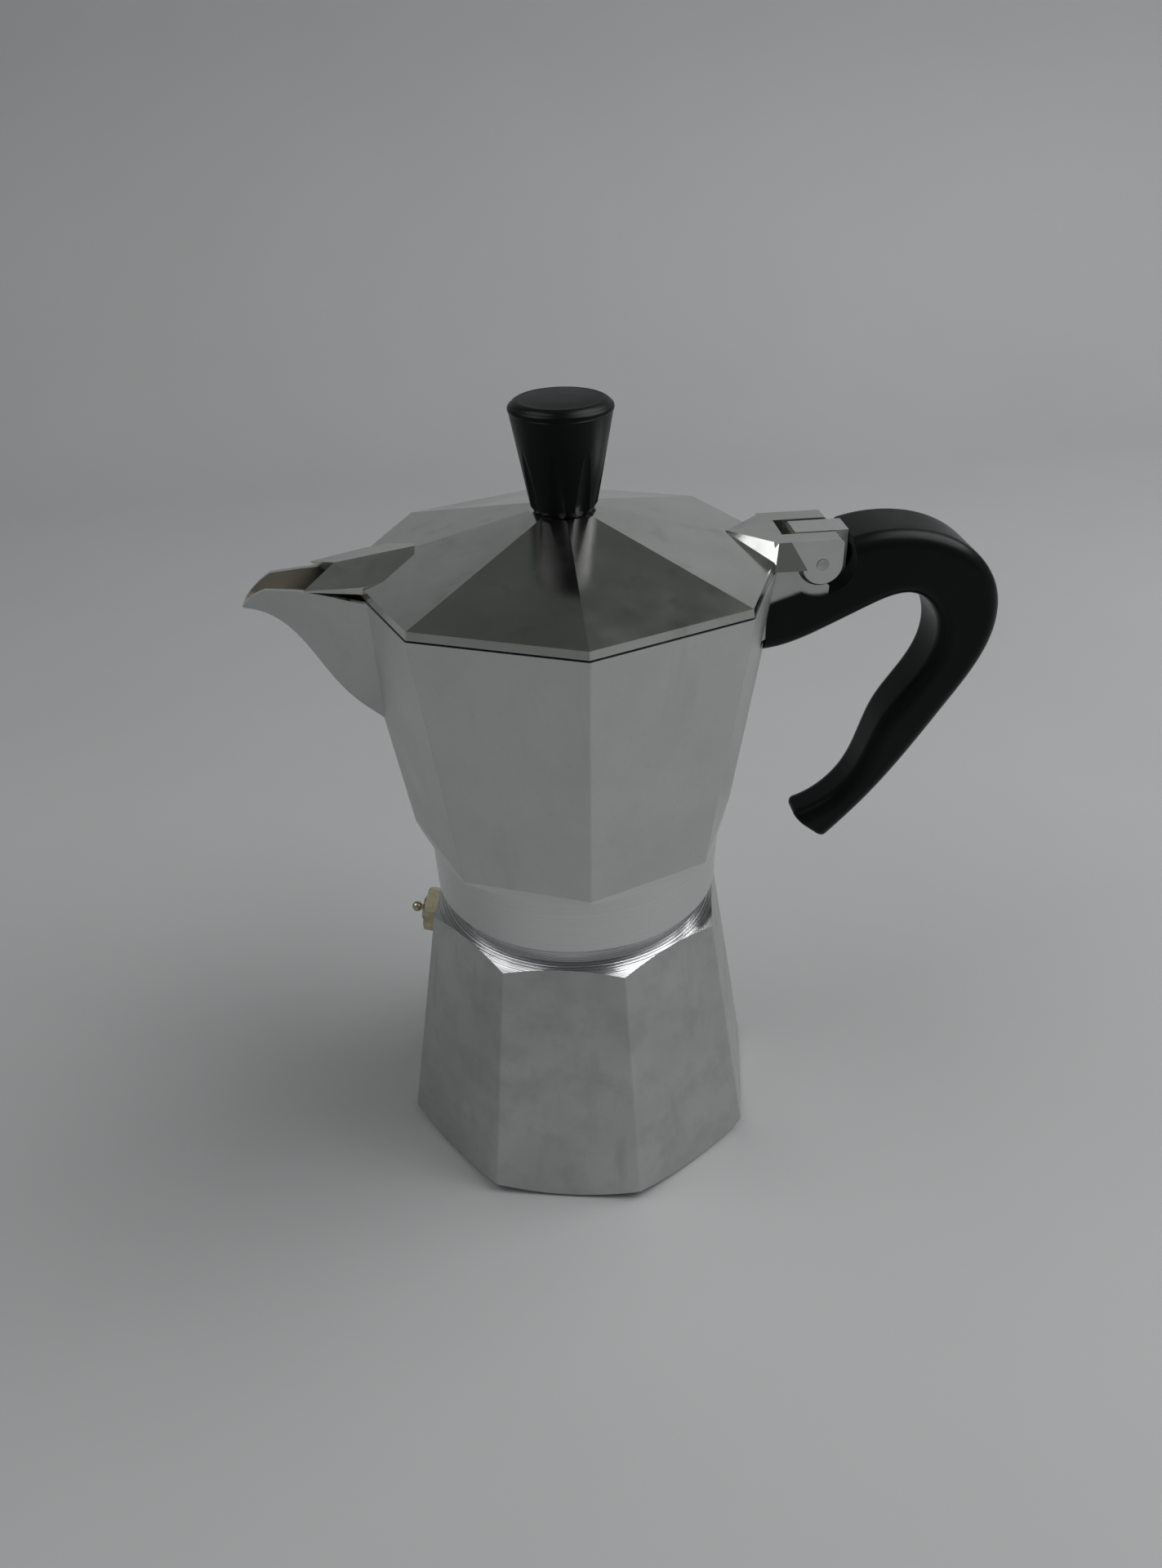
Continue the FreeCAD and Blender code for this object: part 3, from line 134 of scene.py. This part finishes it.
# Node helpers for the finishes
def add_node(tree, kind, **settings):
    made = tree.nodes.new(kind)
    for name, value in settings.items():
        setattr(made, name, value)
    return made


def feed(tree, socket, value):
    if isinstance(value, bpy.types.NodeSocket):
        tree.links.new(value, socket)
    elif isinstance(value, tuple) and socket.type == "RGBA":
        socket.default_value = (*value, 1)
    else:
        socket.default_value = value


def reckon(tree, operation, *values):
    made = add_node(tree, "ShaderNodeMath", operation=operation)
    for socket, value in zip(made.inputs, values):
        feed(tree, socket, value)
    return made.outputs[0]


def spread(tree, value, low=0.0, high=1.0, out_low=0.0, out_high=1.0):
    made = add_node(tree, "ShaderNodeMapRange")
    feed(tree, made.inputs["Value"], value)
    feed(tree, made.inputs["From Min"], low)
    feed(tree, made.inputs["From Max"], high)
    feed(tree, made.inputs["To Min"], out_low)
    feed(tree, made.inputs["To Max"], out_high)
    return made.outputs["Result"]


def blend(tree, share, first, second):
    made = add_node(tree, "ShaderNodeMix", data_type="RGBA")
    feed(tree, made.inputs[MIX_SHARE], share)
    feed(tree, made.inputs[MIX_FIRST], first)
    feed(tree, made.inputs[MIX_SECOND], second)
    return made.outputs[MIX_RESULT]


def noise(tree, place, scale, detail, roughness):
    made = add_node(tree, "ShaderNodeTexNoise")
    feed(tree, made.inputs["Vector"], place)
    feed(tree, made.inputs["Scale"], scale)
    feed(tree, made.inputs["Detail"], detail)
    feed(tree, made.inputs["Roughness"], roughness)
    return made.outputs["Fac"]


def stretched(tree, place, scale):
    made = add_node(tree, "ShaderNodeMapping")
    feed(tree, made.inputs["Vector"], place)
    feed(tree, made.inputs["Scale"], scale)
    return made.outputs["Vector"]


def parts_of(tree, vector):
    made = add_node(tree, "ShaderNodeSeparateXYZ")
    feed(tree, made.inputs[0], vector)
    return made.outputs


def raised(tree, height, strength, depth):
    made = add_node(tree, "ShaderNodeBump")
    made.inputs["Strength"].default_value = strength
    made.inputs["Distance"].default_value = depth
    feed(tree, made.inputs["Height"], height)
    return made.outputs["Normal"]


# Effects shared by several finishes, as node groups
def new_effect(name, numbers, results):
    tree = bpy.data.node_groups.new(name, "ShaderNodeTree")
    tree.interface.new_socket("Place", in_out="INPUT", socket_type="NodeSocketVector")
    for label in numbers:
        tree.interface.new_socket(label, in_out="INPUT", socket_type="NodeSocketFloat")
    for label in results:
        tree.interface.new_socket(label, in_out="OUTPUT", socket_type="NodeSocketFloat")
    return tree, tree.nodes.new("NodeGroupInput"), tree.nodes.new("NodeGroupOutput")


def make_cast_skin():
    pit_share = 0.6
    tree, entry, result = new_effect("cast_skin", ("Cloud", "Grain"), ("Clouds", "Grain", "Pits"))
    place = entry.outputs["Place"]
    grain_scale = entry.outputs["Grain"]
    pit_scale = reckon(tree, "MULTIPLY", grain_scale, pit_share)
    clouds = noise(tree, place, entry.outputs["Cloud"], detail=4, roughness=0.6)
    grain = noise(tree, place, grain_scale, detail=2, roughness=0.6)
    specks = noise(tree, place, pit_scale, detail=1, roughness=0.5)
    feed(tree, result.inputs["Clouds"], spread(tree, clouds, low=0.3, high=0.7))
    feed(tree, result.inputs["Grain"], grain)
    feed(tree, result.inputs["Pits"], spread(tree, specks, low=0.66, high=0.74))
    return tree


def make_lathe_lines():
    ring_share = 1.0
    band_share = 0.12
    tree, entry, result = new_effect("lathe_lines", ("Lines",), ("Rings", "Bands"))
    x, y, z = parts_of(tree, entry.outputs["Place"])
    x_square = reckon(tree, "MULTIPLY", x, x)
    y_square = reckon(tree, "MULTIPLY", y, y)
    reach = reckon(tree, "SQRT", reckon(tree, "ADD", x_square, y_square))
    along = reckon(tree, "ADD", z, reach)
    for label, share in (("Rings", ring_share), ("Bands", band_share)):
        made = add_node(tree, "ShaderNodeTexNoise", noise_dimensions="1D")
        feed(tree, made.inputs["W"], along)
        feed(tree, made.inputs["Scale"], reckon(tree, "MULTIPLY", entry.outputs["Lines"], share))
        feed(tree, made.inputs["Detail"], 2.0)
        feed(tree, result.inputs[label], spread(tree, made.outputs["Fac"], low=0.3, high=0.7))
    return tree


def make_use_marks():
    drip_scale = 150.0
    drip_stretch = (1, 1, 0.14)
    tree, entry, result = new_effect("use_marks", ("Smear",), ("Smears", "Drips"))
    place = entry.outputs["Place"]
    smears = noise(tree, place, entry.outputs["Smear"], detail=5, roughness=0.62)
    drips = noise(tree, stretched(tree, place, drip_stretch), drip_scale, detail=3, roughness=0.55)
    feed(tree, result.inputs["Smears"], spread(tree, smears, low=0.46, high=0.66))
    feed(tree, result.inputs["Drips"], spread(tree, drips, low=0.58, high=0.72))
    return tree


def use_effect(tree, effect, place, **numbers):
    made = add_node(tree, "ShaderNodeGroup", node_tree=effect)
    feed(tree, made.inputs["Place"], place)
    for label, value in numbers.items():
        made.inputs[label].default_value = value
    return made.outputs


def start_finish(name, metal):
    finish = bpy.data.materials.new(name)
    finish.use_nodes = True
    tree = finish.node_tree
    shader = tree.nodes["Principled BSDF"]
    shader.inputs["Metallic"].default_value = metal
    where = add_node(tree, "ShaderNodeTexCoord")
    return finish, tree, shader.inputs, where.outputs


def between(tree, value, low, high, soft):
    rise = spread(tree, value, low - soft, low + soft)
    fall = spread(tree, value, high - soft, high + soft, out_low=1.0, out_high=0.0)
    return reckon(tree, "MULTIPLY", rise, fall)


# Share of the surface that faces the pot's axis or the spout's middle, where painted shade darkens the
# inner walls
def inside_shade_share(tree, place, normal):
    spout_root = -52 * MM
    spout_clear = -54 * MM
    facing_in = -0.2 * MM
    fully_in = -0.8 * MM
    x, y = parts_of(tree, place)[:2]
    lean_x, lean_y = parts_of(tree, normal)[:2]
    on_body = spread(tree, x, spout_clear, spout_root)
    along = reckon(tree, "MULTIPLY", reckon(tree, "MULTIPLY", x, lean_x), on_body)
    across = reckon(tree, "MULTIPLY", y, lean_y)
    return spread(tree, reckon(tree, "ADD", along, across), facing_in, fully_in)


# Satin cast aluminium; what the lathe cut is smoother and ringed, told apart by height and slope
def cast_finish(name, effects, cast, cut):
    stain_tone = (0.34, 0.345, 0.33)
    pit_tone = (0.3, 0.3, 0.29)
    # Painted shade for the inner walls: a dark olive-brown
    inner_shade_tone = (0.24, 0.225, 0.18)
    pit_strength = 0.08
    stain_roughness = 0.25
    edge_softness = 0.15 * MM
    slope_softness = 0.08
    finish, tree, inputs, where = start_finish(name, metal=1.0)
    place = where["Object"]
    normal = where["Normal"]
    skin = use_effect(tree, effects["cast_skin"], place, Cloud=38.0, Grain=1100.0)
    rings = use_effect(tree, effects["lathe_lines"], place, Lines=cut["lines"])
    marks = use_effect(tree, effects["use_marks"], place, Smear=cast["blotch"])
    height = parts_of(tree, place)[2]
    lean = parts_of(tree, normal)[2]
    by_height = between(tree, height, cut["low"], cut["high"], edge_softness)
    by_slope = spread(tree, lean, cut["slope"], cut["slope"] + slope_softness)
    turned = reckon(tree, "MAXIMUM", by_height, by_slope)
    marked = reckon(tree, "MAXIMUM", marks["Drips"], marks["Smears"])
    stain = reckon(tree, "MULTIPLY", marked, cast["stain"])
    pits = reckon(tree, "MULTIPLY", skin["Pits"], pit_strength)
    cast_tone = blend(tree, skin["Clouds"], cast["dull"], cast["pale"])
    stained = blend(tree, stain, cast_tone, stain_tone)
    pitted = blend(tree, pits, stained, pit_tone)
    # Turned surfaces: lathe rings in a dark and a light tone; on the boiler's shoulder their wide spread
    # is painted streaks of sheen and shade
    bright = blend(tree, rings["Rings"], cut["dark"], cut["light"])
    outside = blend(tree, turned, pitted, bright)
    # Painted shade: surfaces facing inwards on the collector, spout and boiler are darkened towards a dark
    # olive-brown
    inner_shaded = blend(tree, inside_shade_share(tree, place, normal), outside, inner_shade_tone)
    feed(tree, inputs["Base Color"], inner_shaded)
    clouded = spread(tree, skin["Clouds"], out_low=0.38, out_high=0.48)
    cast_rough = reckon(tree, "ADD", clouded, reckon(tree, "MULTIPLY", stain, stain_roughness))
    cut_rough = spread(tree, rings["Bands"], out_low=cut["smooth"], out_high=cut["rough"])
    feed(tree, inputs["Roughness"], spread(tree, turned, out_low=cast_rough, out_high=cut_rough))
    ring_relief = reckon(tree, "MULTIPLY", rings["Rings"], cut["depth"])
    relief = blend(tree, turned, skin["Grain"], ring_relief)
    feed(tree, inputs["Normal"], raised(tree, relief, strength=0.2, depth=0.05 * MM))
    return finish


def boiler_finish(effects):
    skin = {"pale": (0.54, 0.55, 0.54), "dull": (0.45, 0.46, 0.45), "stain": 0.36, "blotch": 85.0}
    shoulder = {
        "low": 76 * MM,
        "high": 200 * MM,
        "slope": 0.3,
        # dark and light: real lathe rings, spread wide to paint streaks of shade and sheen on the shoulder
        # and neck
        "dark": (0.3, 0.3, 0.31),
        "light": (0.8, 0.81, 0.82),
        "smooth": 0.1,
        "rough": 0.3,
        "depth": 2.2,
        "lines": 5200.0,
    }
    return cast_finish("cast_boiler", effects, skin, shoulder)


def collector_finish(effects):
    skin = {"pale": (0.6, 0.61, 0.605), "dull": (0.55, 0.56, 0.555), "stain": 0.14, "blotch": 30.0}
    collar = {
        "low": 80 * MM,
        "high": 101.7 * MM,
        "slope": 0.6,
        "dark": (0.64, 0.645, 0.64),
        "light": (0.7, 0.7, 0.7),
        "smooth": 0.3,
        "rough": 0.4,
        "depth": 0.08,
        "lines": 2600.0,
    }
    return cast_finish("cast_collector", effects, skin, collar)


def polished_finish(effects):
    dull = (0.54, 0.545, 0.53)
    pale = (0.62, 0.625, 0.61)
    drip_tone = (0.36, 0.36, 0.33)
    drip_strength = 0.35
    finish, tree, inputs, where = start_finish("polished_lid_aluminium", metal=1.0)
    place = where["Object"]
    marks = use_effect(tree, effects["use_marks"], place, Smear=24.0)
    skin = use_effect(tree, effects["cast_skin"], place, Cloud=55.0, Grain=1600.0)
    tone = blend(tree, skin["Clouds"], dull, pale)
    drips = reckon(tree, "MULTIPLY", marks["Drips"], drip_strength)
    feed(tree, inputs["Base Color"], blend(tree, drips, tone, drip_tone))
    feed(tree, inputs["Roughness"], spread(tree, marks["Smears"], out_low=0.13, out_high=0.24))
    feed(tree, inputs["Normal"], raised(tree, skin["Grain"], strength=0.08, depth=0.04 * MM))
    return finish


def spun_finish(effects):
    dull = (0.60, 0.60, 0.59)
    pale = (0.72, 0.73, 0.72)
    tarnish_tone = (0.42, 0.39, 0.33)
    tarnish_strength = 0.4
    finish, tree, inputs, where = start_finish("spun_aluminium_sheet", metal=1.0)
    place = where["Object"]
    rings = use_effect(tree, effects["lathe_lines"], place, Lines=1800.0)
    marks = use_effect(tree, effects["use_marks"], place, Smear=45.0)
    tone = blend(tree, rings["Bands"], dull, pale)
    tarnish = reckon(tree, "MULTIPLY", marks["Smears"], tarnish_strength)
    feed(tree, inputs["Base Color"], blend(tree, tarnish, tone, tarnish_tone))
    feed(tree, inputs["Roughness"], spread(tree, rings["Rings"], out_low=0.24, out_high=0.4))
    feed(tree, inputs["Normal"], raised(tree, rings["Rings"], strength=0.15, depth=0.04 * MM))
    return finish


def small_metal_finish(name, effects, dark, light, smooth, rough):
    wear_strength = 0.45
    wear_share = 0.5
    worn_tone = tuple(part * wear_share for part in dark)
    finish, tree, inputs, where = start_finish(name, metal=1.0)
    place = where["Object"]
    skin = use_effect(tree, effects["cast_skin"], place, Cloud=240.0, Grain=3000.0)
    marks = use_effect(tree, effects["use_marks"], place, Smear=180.0)
    tone = blend(tree, skin["Clouds"], dark, light)
    wear = reckon(tree, "MULTIPLY", marks["Smears"], wear_strength)
    feed(tree, inputs["Base Color"], blend(tree, wear, tone, worn_tone))
    feed(tree, inputs["Roughness"], spread(tree, marks["Smears"], out_low=smooth, out_high=rough))
    feed(tree, inputs["Normal"], raised(tree, skin["Grain"], strength=0.12, depth=0.03 * MM))
    return finish


def brass_finish(effects):
    dark = (0.42, 0.38, 0.26)
    light = (0.56, 0.52, 0.38)
    return small_metal_finish("nickelled_brass", effects, dark, light, smooth=0.24, rough=0.42)


def steel_finish(effects):
    dark = (0.5, 0.5, 0.49)
    light = (0.62, 0.62, 0.61)
    return small_metal_finish("bright_steel", effects, dark, light, smooth=0.18, rough=0.34)


# Finishes that are not metal
def soft_finish(name, effects, dark, light, smooth, rough, grain):
    finish, tree, inputs, where = start_finish(name, metal=0.0)
    place = where["Object"]
    skin = use_effect(tree, effects["cast_skin"], place, Cloud=70.0, Grain=2200.0)
    marks = use_effect(tree, effects["use_marks"], place, Smear=40.0)
    tone = blend(tree, skin["Clouds"], dark, light)
    feed(tree, inputs["Base Color"], blend(tree, marks["Smears"], tone, dark))
    feed(tree, inputs["Roughness"], spread(tree, marks["Smears"], out_low=smooth, out_high=rough))
    feed(tree, inputs["Normal"], raised(tree, skin["Grain"], strength=grain, depth=0.05 * MM))
    return finish


def black_finish(effects):
    dark = (0.002, 0.0025, 0.0025)
    light = (0.004, 0.005, 0.005)
    shine = 0.14
    finish = soft_finish("black_moulding", effects, dark, light, smooth=0.28, rough=0.38, grain=0.06)
    finish.node_tree.nodes["Principled BSDF"].inputs["Specular IOR Level"].default_value = shine
    return finish


def rubber_finish(effects):
    dark = (0.55, 0.53, 0.48)
    light = (0.7, 0.68, 0.62)
    return soft_finish("pale_silicone", effects, dark, light, smooth=0.55, rough=0.7, grain=0.2)


def fibre_finish(effects):
    dark = (0.16, 0.07, 0.05)
    light = (0.24, 0.11, 0.08)
    return soft_finish("fibre_washer", effects, dark, light, smooth=0.6, rough=0.75, grain=0.4)


def dress_nodes(effects):
    finishes = (
        (boiler_finish(effects), ("boiler",)),
        (collector_finish(effects), ("collector",)),
        (polished_finish(effects), ("lid",)),
        (black_finish(effects), ("handle", "knob")),
        (rubber_finish(effects), ("gasket", "valve_seal")),
        (fibre_finish(effects), ("valve_washer",)),
        (spun_finish(effects), ("funnel", "funnel_screen", "filter_plate", "column")),
        (brass_finish(effects), ("valve_body", "valve_cap", "valve_pin", "knob_insert")),
        (steel_finish(effects), ("valve_spring", "knob_screw", "knob_washer", "hinge_pin")),
    )
    for finish, nodes in finishes:
        for node in nodes:
            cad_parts[node].material_slots[0].material = finish


# Thread on the boiler's neck: a low ridge wound round it, under the collar at rest
def wind_thread():
    neck = 36.5 * MM
    crest = 36.82 * MM
    pitch = 2.5 * MM
    turns = 4
    steps = 96
    root_share = 0.7
    crest_share = 0.35
    top_margin = 1.5 * MM
    near = 0.01 * MM
    smooth_angle = math.radians(30)
    neck_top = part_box("boiler")[1][2]
    foot = neck_top - top_margin - pitch * (turns + 0.5)
    bpy.ops.object.select_all(action="DESELECT")
    bpy.ops.mesh.primitive_plane_add(size=1, rotation=(math.pi / 2, 0, 0))
    thread = bpy.context.object
    thread.name = "neck_thread"
    thread.scale = (crest - neck, root_share * pitch, 1)
    thread.location = ((crest + neck) / 2, 0, foot)
    bpy.ops.object.transform_apply(location=True, rotation=True, scale=True)
    pick_edges(thread, lambda edge_middle: edge_middle.x > crest - near)
    bpy.ops.transform.resize(value=(1, 1, crest_share))
    bpy.ops.mesh.select_all(action="SELECT")
    bpy.ops.mesh.delete(type="ONLY_FACE")
    bpy.ops.object.mode_set(mode="OBJECT")
    wound = thread.modifiers.new("winding", "SCREW")
    wound.axis = "Z"
    wound.iterations = turns
    wound.screw_offset = pitch
    wound.steps = steps
    wound.render_steps = steps
    bpy.ops.object.modifier_apply(modifier="winding")
    bpy.ops.object.mode_set(mode="EDIT")
    bpy.ops.mesh.select_all(action="SELECT")
    bpy.ops.mesh.remove_doubles(threshold=MERGE_DISTANCE)
    bpy.ops.mesh.select_mode(type="EDGE")
    bpy.ops.mesh.select_all(action="DESELECT")
    bpy.ops.mesh.select_non_manifold()
    bpy.ops.mesh.fill()
    bpy.ops.mesh.select_all(action="SELECT")
    bpy.ops.mesh.normals_make_consistent(inside=False)
    bpy.ops.object.mode_set(mode="OBJECT")
    bpy.ops.object.shade_smooth_by_angle(angle=smooth_angle)
    thread.data.materials.append(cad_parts["boiler"].material_slots[0].material)
    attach(thread, "lower_vessel")


# Relief valve's spring: a smoothed copy of the CAD spring, riding with the lower vessel in its place
def make_relief_spring():
    smooth_angle = math.radians(40)
    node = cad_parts["valve_spring"]
    spring = bpy.data.objects.new("relief_spring", node.data.copy())
    bpy.context.scene.collection.objects.link(spring)
    bpy.ops.object.select_all(action="DESELECT")
    bpy.context.view_layer.objects.active = spring
    spring.select_set(True)
    bpy.ops.object.mode_set(mode="EDIT")
    bpy.ops.mesh.select_all(action="SELECT")
    bpy.ops.mesh.remove_doubles(threshold=MERGE_DISTANCE)
    bpy.ops.object.mode_set(mode="OBJECT")
    bpy.ops.object.shade_smooth_by_angle(angle=smooth_angle)
    spring.data.materials.clear()
    spring.data.materials.append(node.material_slots[0].material)
    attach(spring, "lower_vessel")
    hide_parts("valve_spring")
    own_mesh(spring)


# Floor: a wide grey sheet that curves up well behind the pot
def lay_floor():
    width = 8
    middle = -3.1
    back = middle + width / 2
    back_height = 0.75
    curve = 0.3
    curve_steps = 16
    near = 0.01
    gap_under_pot = 0.05 * MM
    dull = (0.33, 0.335, 0.34)
    pale = (0.37, 0.375, 0.38)
    bpy.ops.object.select_all(action="DESELECT")
    bpy.ops.mesh.primitive_plane_add(size=width, location=(0, middle, -gap_under_pot))
    floor = bpy.context.object
    floor.name = "floor"
    bpy.ops.object.transform_apply(location=True, rotation=False, scale=False)
    pick_edges(floor, lambda edge_middle: edge_middle.y > back - near)
    bpy.ops.mesh.extrude_region_move(TRANSFORM_OT_translate={"value": (0, 0, back_height)})
    pick_edges(floor, lambda edge_middle: edge_middle.y > back - near and edge_middle.z < near)
    bpy.ops.mesh.bevel(offset=curve, offset_type="OFFSET", segments=curve_steps)
    bpy.ops.object.mode_set(mode="OBJECT")
    bpy.ops.object.shade_smooth()
    finish, tree, inputs, where = start_finish("grey_floor", metal=0.0)
    clouds = noise(tree, where["Object"], 5.0, detail=4, roughness=0.6)
    feed(tree, inputs["Base Color"], blend(tree, clouds, dull, pale))
    feed(tree, inputs["Roughness"], spread(tree, clouds, out_low=0.6, out_high=0.75))
    floor.data.materials.append(finish)


place_camera()
light_studio()
light_room()
effects = {"cast_skin": make_cast_skin(), "lathe_lines": make_lathe_lines(), "use_marks": make_use_marks()}
dress_nodes(effects)
wind_thread()
make_relief_spring()
lay_floor()
